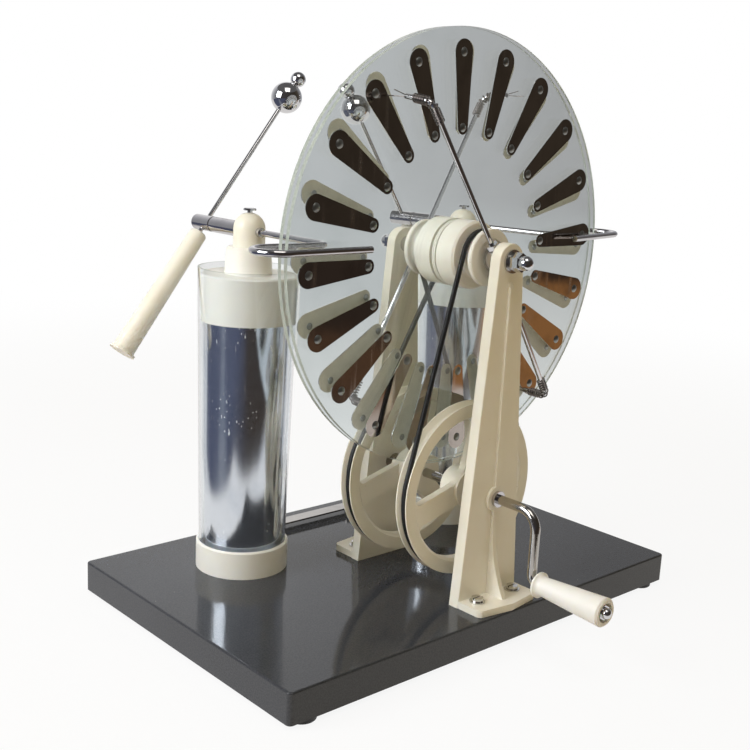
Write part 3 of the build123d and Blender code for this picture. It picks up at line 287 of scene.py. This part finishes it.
def clear_sheet(name, tint, smeared, rough, rim_axis, rim_low, rim_high):
    """Clear plastic, frosted at its sawn edge: the frost sets in as the surface's share of the
    rim's axis goes from rim_low to rim_high. Faint smears and wiped hairlines lie on it as
    a dull coat, and shadows fall through it."""
    f = Finish(name)
    smears = f.noise(16.0, 5.0, 0.65)
    hairlines = f.lines((1200.0, 1200.0, 60.0), (0.5, 0.1, 0.9)).step(0.7, 0.8)
    glass = f.node("BsdfPrincipled", {}, {
        "Base Color": f.mix(smears.step(0.45, 0.8), tint, smeared), "Roughness": rough,
        "IOR": 1.49, "Transmission Weight": 1.0,
        "Coat Weight": smears.step(0.5, 0.85) * 0.35 + hairlines * 0.4,
        "Coat Roughness": 0.22})
    sawn = f.mix(f.noise(700.0, 2.0).step(0.3, 0.7), (0.40, 0.455, 0.420),
                 (0.52, 0.570, 0.535))
    frost = f.node("BsdfPrincipled", {}, {
        "Base Color": sawn, "Roughness": 0.30 + smears * 0.15, "IOR": 1.49})
    edge = abs(f.facing(rim_axis)).step(rim_low, rim_high)
    solid = f.node("MixShader", {}, {0: edge * 0.8, 1: glass, 2: frost})
    through = f.node("BsdfTransparent", {}, {"Color": (*tint, 1.0)})
    passing = f.ray("Is Shadow Ray", "Is Diffuse Ray")
    return f.surface(f.node("MixShader", {}, {0: passing, 1: solid, 2: through}))


ivory = moulded_ivory("moulded_ivory", (0.87, 0.835, 0.735), (0.892, 0.862, 0.78))
pale_ivory = moulded_ivory("pale_ivory", (0.88, 0.868, 0.825), (0.91, 0.90, 0.865))
handle_ivory = moulded_ivory("handle_ivory", (0.895, 0.895, 0.88), (0.925, 0.925, 0.915))
chrome = plated("bright_chrome", (0.71, 0.70, 0.705), (0.62, 0.61, 0.615),
                smooth=0.03, dull=0.09)
dark_plate = plated("dark_plate", (0.60, 0.58, 0.585), (0.50, 0.48, 0.485),
                    smooth=0.08, dull=0.16)
nickel = plated("dull_nickel", (0.50, 0.475, 0.445), (0.40, 0.38, 0.355),
                smooth=0.10, dull=0.20)
steel = plated("turned_steel", (0.62, 0.61, 0.59), (0.50, 0.49, 0.47),
               smooth=0.16, dull=0.34, ripple=0.08)
brass = plated("drawn_brass", (0.78, 0.58, 0.28), (0.62, 0.44, 0.20),
               smooth=0.12, dull=0.28, ripple=0.08)
spring_wire = plated("spring_wire", (0.30, 0.265, 0.245), (0.23, 0.20, 0.185),
                     smooth=0.10, dull=0.20)
rivet_metal = plated("rivet_metal", (0.36, 0.37, 0.345), (0.27, 0.275, 0.26),
                     smooth=0.34, dull=0.48)
front_metal = sector_plate("front_sector_metal", (0.44, 0.39, 0.35), (0.34, 0.30, 0.27),
                           outward=-1.0)
rear_metal = sector_plate("rear_sector_metal", (0.60, 0.59, 0.57), (0.50, 0.49, 0.47),
                          outward=1.0)
disc_sheet = clear_sheet("clear_disc", (0.965, 0.98, 0.97), (0.91, 0.93, 0.92),
                         rough=0.0, rim_axis="Y", rim_low=0.9, rim_high=0.6)
jar_sheet = clear_sheet("clear_jar", (0.95, 0.97, 0.985), (0.88, 0.90, 0.92),
                        rough=0.02, rim_axis="Z", rim_low=0.7, rim_high=0.95)


def dress(material, *names):
    """Give CAD nodes their finish."""
    for name in names:
        nodes[name].data.materials.clear()
        nodes[name].data.materials.append(material)


def left_right(*kinds):
    """Names of the left and the right node of each kind."""
    return [f"{side}_{kind}" for kind in kinds for side in ("left", "right")]


def front_rear(*kinds):
    """Names of the front and the rear node of each kind."""
    return [f"{side}_{kind}" for kind in kinds for side in ("front", "rear")]


dress(lacquered_board(), "base")
dress(black_rubber(), "foot_pads", "open_belt", "crossed_belt")
dress(ivory, "near_wheel", "far_wheel", *front_rear("upright"),
      *left_right("post", "discharge_handle"))
dress(handle_ivory, "crank_handle")
dress(pale_ivory, *front_rear("hub"), *left_right("jar_cup", "jar_lid"))
dress(disc_sheet, *front_rear("disc"))
dress(jar_sheet, *left_right("jar_wall"))
dress(rolled_foil(), *left_right("jar_foil"))
dress(brass, *left_right("jar_rod"))
dress(front_metal, "front_sectors")
dress(rear_metal, "rear_sectors")
dress(rivet_metal, *front_rear("rivets"))
dress(steel, "upright_screws", "axle_washers", "axle_spacers")
dress(spring_wire, "crank_sleeves", *front_rear("neutral_springs"))
dress(dark_plate, "crank_collars", *left_right("swivel_inner", "swivel_outer", "collector"))
dress(nickel, "crank_shaft", "link_bar")
dress(chrome, "axle", "axle_nuts", "post_screws", "handle_nut",
      *front_rear("neutral_collar", "neutral_rods", "neutral_nuts"),
      *left_right("discharge_rod", "discharge_balls"))


# Meshes from arrays

def plain_mesh(name, points, *blocks):
    """Mesh object from an array of points and arrays of faces."""
    mesh = bpy.data.meshes.new(name)
    mesh.from_pydata(points.tolist(), [], sum((block.tolist() for block in blocks), []))
    made = bpy.data.objects.new(name, mesh)
    bpy.context.scene.collection.objects.link(made)
    return made


def level_panel(name, height, half_side):
    """Level square: its corners lie half_side from the middle both ways, at one height."""
    corners = np.array([(-1.0, -1.0), (1.0, -1.0), (1.0, 1.0), (-1.0, 1.0)]) * half_side
    return plain_mesh(name, np.insert(corners, 2, height, 1), np.arange(4)[None])


# Washers between the discs

def hub_washer(name, y_first, y_last, body):
    """Ring about the axle: a rectangle with trimmed outer corners, from bore to rim and from
    y_first to y_last; the point of profile (r, y) at angle a is
    (axle x + r cos a, y, axle z + r sin a)."""
    bore, rim, trim = 0.0040, drum_radius - 0.0004, 0.00025
    radius = np.array([bore, rim - trim, rim, rim, rim - trim, bore])
    along = np.array([y_first, y_first, y_first + trim, y_last - trim, y_last, y_last])
    sides, corners = 96, radius.size
    angle = np.linspace(0.0, 2.0 * np.pi, sides, endpoint=False)
    points = np.stack([axle.x + np.outer(np.cos(angle), radius),
                       np.broadcast_to(along, (sides, corners)),
                       axle.z + np.outer(np.sin(angle), radius)], -1).reshape(-1, 3)
    turn, place = np.meshgrid(np.arange(sides), np.arange(corners), indexing="ij")
    next_turn, next_place = (turn + 1) % sides, (place + 1) % corners
    faces = np.stack([turn * corners + place, turn * corners + next_place,
                      next_turn * corners + next_place, next_turn * corners + place], -1)
    ring = plain_mesh(name, points, faces.reshape(-1, 4))
    ring.data.materials.append(pale_ivory)
    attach(ring, body)


washer_play = 0.00012       # half of the clearance between the two washers
washer_width = (rear_face - front_face) / 2 - washer_play
hub_washer("front_hub_washer", front_face, front_face + washer_width, "front_plate")
hub_washer("rear_hub_washer", rear_face - washer_width, rear_face, "rear_plate")


# Rivet ends on the inner faces of the discs

rivet_circles = (0.1182, 0.0748)      # through the outer and the inner rivets
front_turn, rear_turn = -3.7, -0.2    # degrees from upright to each disc's first sector


def rivet_ends(name, first_turn, face, way, body):
    """Low domes, two for each of the 20 sectors, that rise from a disc's face towards way.
    A dome's point at share s of its radius and angle t lies height (1 - s s) above the
    face; its middle lies at angle a and circle radius c, at
    (axle x + c sin a, face, axle z + c cos a)."""
    radius, height, sides, sectors = 0.0021, 0.00045, 16, 20
    share = np.array([1.0, 0.8, 0.5, 0.2])
    around = np.linspace(0.0, 2.0 * np.pi, sides, endpoint=False)
    across = np.append(np.outer(share, np.cos(around)).ravel(), 0.0) * radius
    upward = np.append(np.outer(share, np.sin(around)).ravel(), 0.0) * radius
    risen = way * height * np.append(np.repeat(1.0 - share ** 2, sides), 1.0)
    turn = np.radians(first_turn + np.arange(sectors) * 360.0 / sectors)[:, None]
    circle = np.array(rivet_circles)[None, :]
    middle_x = (axle.x + circle * np.sin(turn)).ravel()[:, None]
    middle_z = (axle.z + circle * np.cos(turn)).ravel()[:, None]
    points = np.stack([middle_x + across,
                       np.broadcast_to(face + risen, (middle_x.size, risen.size)),
                       middle_z + upward], -1).reshape(-1, 3)

    # Faces of one dome: its rings, the top with its middle point, and the foot
    last_ring, top = sides * (share.size - 1), sides * share.size
    step = np.arange(sides)
    after = (step + 1) % sides
    ring = np.stack([step, after, after + sides, step + sides], -1)
    walls = np.concatenate([ring + start for start in range(0, last_ring, sides)])
    tops = np.stack([step + last_ring, after + last_ring, np.full(sides, top)], -1)
    blocks = [walls, tops, step[::-1][None, :]]
    if way > 0:
        blocks = [block[:, ::-1] for block in blocks]
    shift = np.arange(middle_x.size)[:, None, None] * (top + 1)
    ends = plain_mesh(name, points, *[(block + shift).reshape(-1, block.shape[1])
                                      for block in blocks])
    ends.data.shade_smooth()
    ends.data.materials.append(rivet_metal)
    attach(ends, body)


rivet_ends("front_rivet_ends", front_turn, front_face, 1.0, "front_plate")
rivet_ends("rear_rivet_ends", rear_turn, rear_face, -1.0, "rear_plate")


# Floor, and the room as painted reflections

left_way = (-0.744, 0.667, 0.0)       # to the left, as seen in the picture
# Greys of the painted drape seen through clear plastic: dimmer to the right, paler to the left as
# painted light
painted_dim_drape, painted_lit_drape = (0.40, 0.40, 0.412), (0.535, 0.55, 0.57)


def pale_floor():
    """Pale sheet on a table. Metal and gloss paint see in it a painted reflection: the sheet near
    the machine, the wood of the table to the right of it and the dark room past it as painted
    shade; clear plastic shows it as a painted backdrop shading to grey."""
    f = Finish("pale_floor")
    # Colours of the painted reflection that metal and gloss paint see in the floor
    sheet, wood = (0.84, 0.83, 0.82), (0.42, 0.215, 0.085)
    painted_dark_room, painted_blue_room = (0.048, 0.037, 0.031), (0.085, 0.096, 0.150)
    away = f.node("VectorMath", {"operation": "LENGTH"}, {0: f.place}, "Value")
    rightward = f.along((0.80, -0.60, 0.0))

    # The painted reflection of the sheet has three wavy edges and runs on behind the machine
    wave = f.noise(5.0, 1.0) * 0.06
    on_sheet = (f.along((0.44, 0.90, 0.0)) + wave).step(-0.24, -0.18)
    on_sheet = on_sheet * (f.along((0.93, -0.37, 0.0)) + wave).step(-0.32, -0.27)
    on_sheet = on_sheet * (1.0 - (rightward + wave).step(0.66, 0.70))
    behind = (f.along((0.707, 0.707, 0.0)) - away * 0.34).step(-0.05, 0.05)
    on_sheet = on_sheet.larger(behind)

    # The painted reflection of the room is bluer to the left, with a painted pale streak of
    # light, and a painted brown glow before the machine
    room = f.mix(f.along((-0.80, 0.60, 0.0)).step(0.0, 0.45), painted_dark_room, painted_blue_room)
    off_painted_streak = abs(f.along((0.139, 0.990, 0.0)) - 0.067)
    room = f.mix((1.0 - off_painted_streak.step(0.01, 0.13)) * 0.6, room, (0.30, 0.32, 0.36))
    off_painted_glow = f.node("VectorMath", {"operation": "DISTANCE"},
                      {0: f.place, 1: (0.42, -0.64, 0.0)}, "Value")
    room = f.mix((1.0 - off_painted_glow.step(0.08, 0.30)) * 0.7, room, (0.17, 0.100, 0.060))
    on_wood = (1.0 - abs(f.along((0.60, 0.80, 0.0))).step(0.11, 0.20))
    on_wood = on_wood * rightward.step(0.30, 0.40) * (1.0 - rightward.step(1.55, 1.75))
    floor_painted_reflection = f.mix(on_sheet, f.mix(on_wood, room, wood), sheet)

    # Through clear plastic it shows a painted backdrop that shades to the drape's grey at the
    # horizon
    drape = f.mix((f.along(left_way) / away).step(-0.215, 0.11), painted_dim_drape, painted_lit_drape)
    seen_through_painted = f.mix(away.step(0.20, 1.60), (0.70, 0.72, 0.73), (0.52, 0.54, 0.555))
    seen_through_painted = f.mix(away.step(1.20, 4.50), seen_through_painted, drape)

    # Metal and gloss paint see the painted reflection, the camera sees plain white
    shown = f.mix(f.ray("Is Glossy Ray"), (1.0, 1.0, 1.0), floor_painted_reflection)
    through_disc = f.ray("Is Transmission Ray") * f.ray("Is Singular Ray")
    shown = f.mix(through_disc, shown, seen_through_painted)
    # Light the floor passes on is painted warm; the camera sees the floor a plain pale grey
    matt_and_painted_bounce = f.mix(f.ray("Is Camera Ray"), (0.60, 0.52, 0.41), (0.86, 0.86, 0.86))
    share = f.ray("Is Camera Ray") * (away.step(0.45, 1.3) * 0.10 + 0.90)
    share = share.larger(f.ray("Is Glossy Ray", "Is Transmission Ray"))
    return f.surface(f.node("MixShader", {}, {
        0: share, 1: f.node("BsdfDiffuse", {}, {"Color": matt_and_painted_bounce}),
        2: f.node("Emission", {}, {"Color": shown})}))


floor = level_panel("floor", height=-0.0002, half_side=6.0)     # just under the feet
floor.data.materials.append(pale_floor())


def studio_room():
    """World: white behind the object, warm light in its shade, and through clear plastic the grey
    of a painted drape, paler to the left as painted light."""
    f = Finish("studio", bpy.data.worlds.new("studio"))

    def light(colour, strength=1.0):
        """The same light from every side."""
        return f.node("Background", {}, {"Color": colour, "Strength": strength})

    toward = f.node("TexCoord", {}, {}, "Generated")
    # Painted drape seen through clear plastic, paler to the left as painted light
    drape = f.mix(f.along(left_way, toward).step(-0.20, 0.09), painted_dim_drape, painted_lit_drape)
    seen = f.node("MixShader", {}, {0: f.ray("Is Camera Ray", "Is Glossy Ray"),
                                    1: light((1.0, 0.82, 0.48, 1.0), 0.34),
                                    2: light((1.0, 1.0, 1.0, 1.0))})
    seen = f.node("MixShader", {}, {0: f.ray("Is Transmission Ray"), 1: seen, 2: light(drape)})
    return f.surface(seen, "OutputWorld")


bpy.context.scene.world = studio_room()


def glows_as_painted_reflection(panel, finish, colour):
    """Panel that stands for part of the room and glows though it is no lamp: a painted reflection
    that shows only in metal and gloss paint.
    """
    panel.data.materials.append(finish.surface(finish.node("Emission", {}, {"Color": colour})))
    panel.visible_camera = False
    panel.visible_diffuse = False
    panel.visible_transmission = False
    panel.visible_shadow = False


def painted_room_wall(radius, top):
    """Round wall: the point at angle a and height h is (radius cos a, radius sin a, h). It glows
    with a painted reflection, dark as painted shade where the camera stands and pale as painted
    light behind the machine."""
    sides = 96
    angle, height = np.meshgrid(np.linspace(0.0, 2.0 * np.pi, sides, endpoint=False),
                                (0.0, top))
    points = np.stack([radius * np.cos(angle), radius * np.sin(angle), height], -1)
    first = np.arange(sides)
    after = (first + 1) % sides
    faces = np.stack([first, after, after + sides, first + sides], -1)
    f = Finish("painted_room_wall")
    turn = f.node("TexGradient", {"gradient_type": "RADIAL"}, {"Vector": f.place})
    # Each stop is a share of the full turn and the wall's painted reflection colour there:
    # painted shade where dark, painted light where pale
    colour = f.node("ValToRGB", {"stops": [
        (0.00, (0.072, 0.066, 0.068)), (0.14, (0.056, 0.051, 0.052)),
        (0.33, (0.045, 0.037, 0.029)), (0.43, (0.070, 0.058, 0.046)),
        (0.50, (0.22, 0.22, 0.23)), (0.59, (0.42, 0.43, 0.46)),
        (0.66, (1.00, 1.00, 1.01)), (0.77, (0.62, 0.63, 0.66)),
        (0.86, (0.30, 0.31, 0.33)), (0.94, (0.090, 0.088, 0.100)),
        (1.00, (0.072, 0.066, 0.068))]}, {"Fac": turn})
    glows_as_painted_reflection(plain_mesh("painted_room_wall", points.reshape(-1, 3), faces), f, colour)


wall_radius, wall_top = 2.5, 2.3
painted_room_wall(wall_radius, wall_top)
# Dark overhead panel: painted shade seen only as a reflection, with a faint cloudy variation
overhead_painted_shade = Finish("painted_room_overhead")
glows_as_painted_reflection(level_panel("painted_room_overhead", wall_top + 0.01, wall_radius + 0.1), overhead_painted_shade,
              overhead_painted_shade.mix(overhead_painted_shade.noise(0.8, 1.0), (0.10, 0.10, 0.10), (0.16, 0.16, 0.165)))


# Lamps and camera

def soft_lamp(name, place, aim, size, power, colour):
    """Square area lamp at a place, turned towards a point."""
    data = bpy.data.lights.new(name, "AREA")
    data.shape = "SQUARE"
    data.size = size
    data.energy = power
    data.color = colour
    lamp = bpy.data.objects.new(name, data)
    lamp.location = place
    lamp.rotation_euler = (Vector(aim) - Vector(place)).to_track_quat("-Z", "Y").to_euler()
    bpy.context.scene.collection.objects.link(lamp)


soft_lamp("side_lamp", place=(-1.33, 0.31, 0.74), aim=(0.0, 0.0, 0.17), size=0.9,
          power=18.4, colour=(0.92, 0.96, 1.0))
soft_lamp("top_lamp", place=(-0.35, -0.55, 1.55), aim=(0.0, 0.0, 0.10), size=0.8,
          power=5.0, colour=(1.0, 0.97, 0.92))

# The camera's place, from the discs' middle and the board's top, and its turn in degrees
# were fitted to the photograph
lens_place = (axle.x - 0.5033, gap_y - 0.4824, board_top + 0.28977)
lens_turn = (77.182, -2.803, -41.861)
lens = bpy.data.cameras.new("camera")
lens.sensor_width = 36.0
lens.lens = 54.415
lens.clip_start = 0.02
lens.clip_end = 60.0
camera = bpy.data.objects.new("camera", lens)
camera.location = lens_place
camera.rotation_euler = Euler([math.radians(turn) for turn in lens_turn])
bpy.context.scene.collection.objects.link(camera)
bpy.context.scene.camera = camera

bpy.context.scene.view_settings.view_transform = "Standard"
